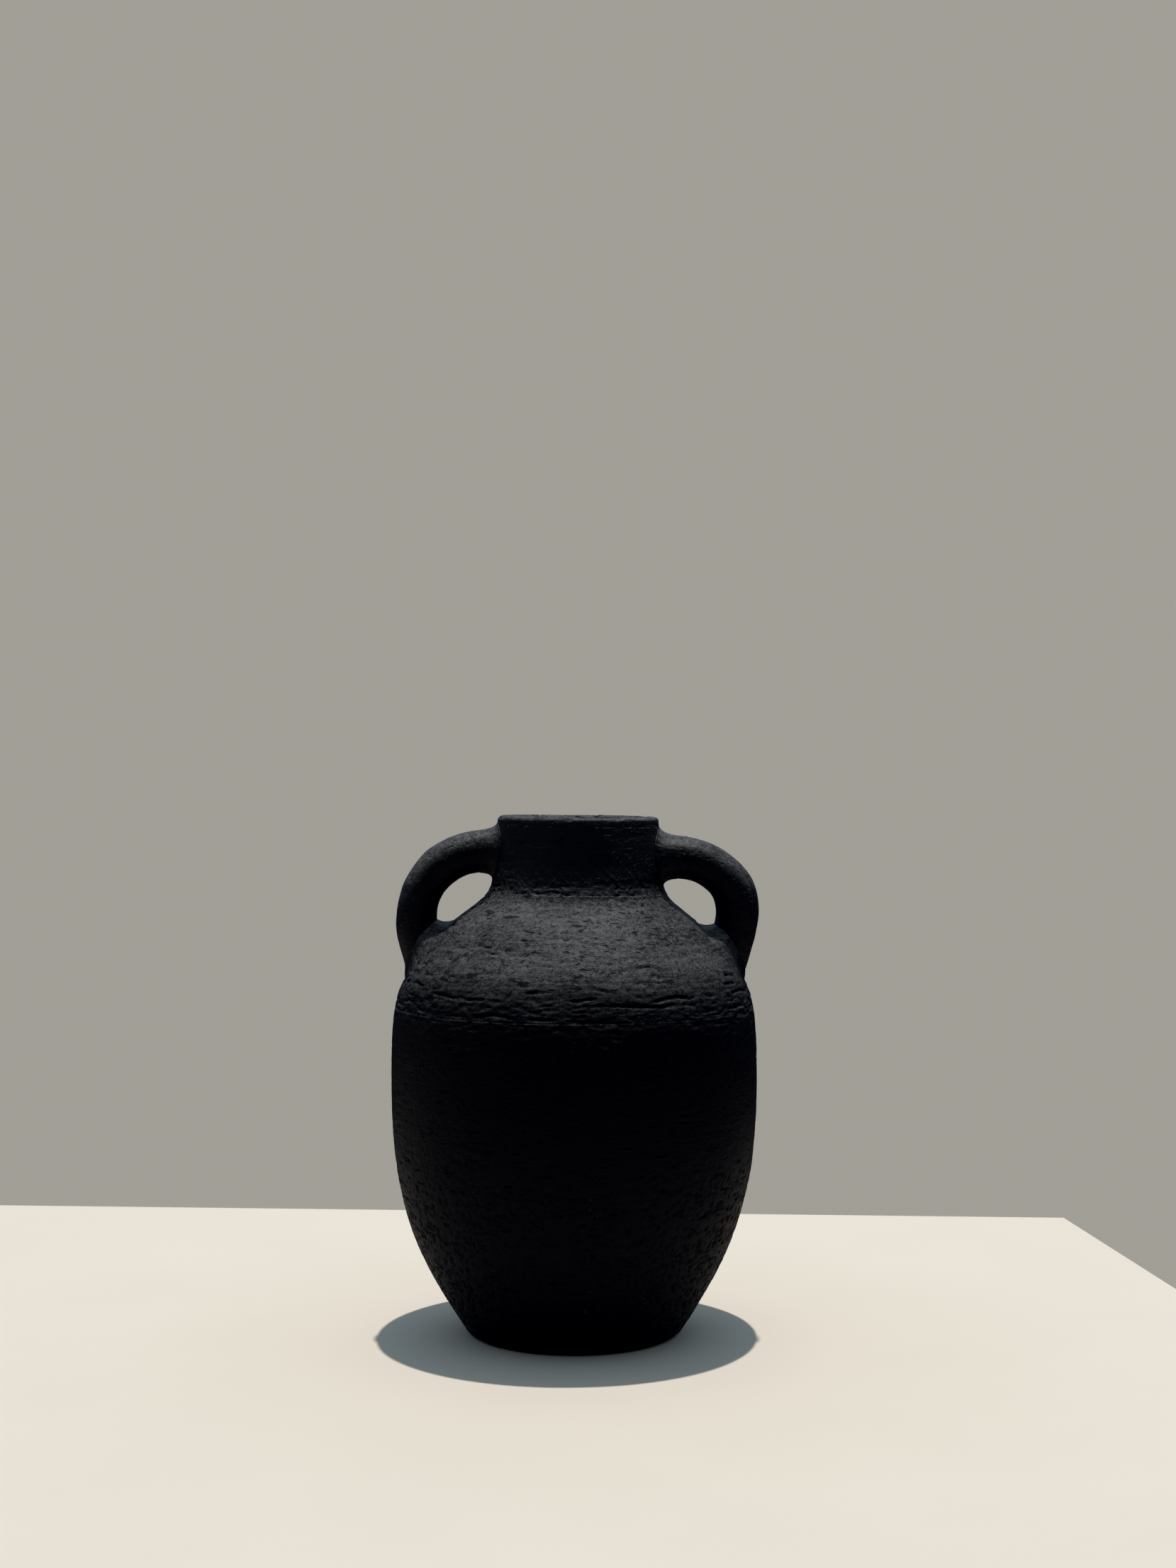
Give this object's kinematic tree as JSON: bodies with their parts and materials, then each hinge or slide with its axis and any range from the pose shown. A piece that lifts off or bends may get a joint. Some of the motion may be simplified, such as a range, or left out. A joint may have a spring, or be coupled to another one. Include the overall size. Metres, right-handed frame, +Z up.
{
  "type": "two-handled clay pot",
  "caption": "Ovoid black clay pot with a short straight neck, a rounded lip and two small strap handles from neck to shoulder.",
  "frame": {"origin": "centre of the foot, where the pot stands", "axes": "+Z up along the axis the pot is turned about, +X towards the right handle, -Y towards the front"},
  "size_m": [0.2126, 0.2126, 0.3],
  "materials": {
    "clay_wall": "matte, scraped, with fine cracks and pits",
    "clay_strap": "matte, wiped smooth",
    "clay_luting": "matte, smeared with a finger"
  },
  "bodies": {
    "root": {"base_disc": "clay_wall", "lower_wall": "clay_wall", "belly_wall": "clay_wall", "shoulder_wall": "clay_wall", "neck_collar": "clay_wall", "lip_coil": "clay_wall", "handle_left": "clay_strap", "handle_right": "clay_strap", "upper_luting_left": "clay_luting", "upper_luting_right": "clay_luting", "lower_luting_left": "clay_luting", "lower_luting_right": "clay_luting"}
  },
  "joints": []
}
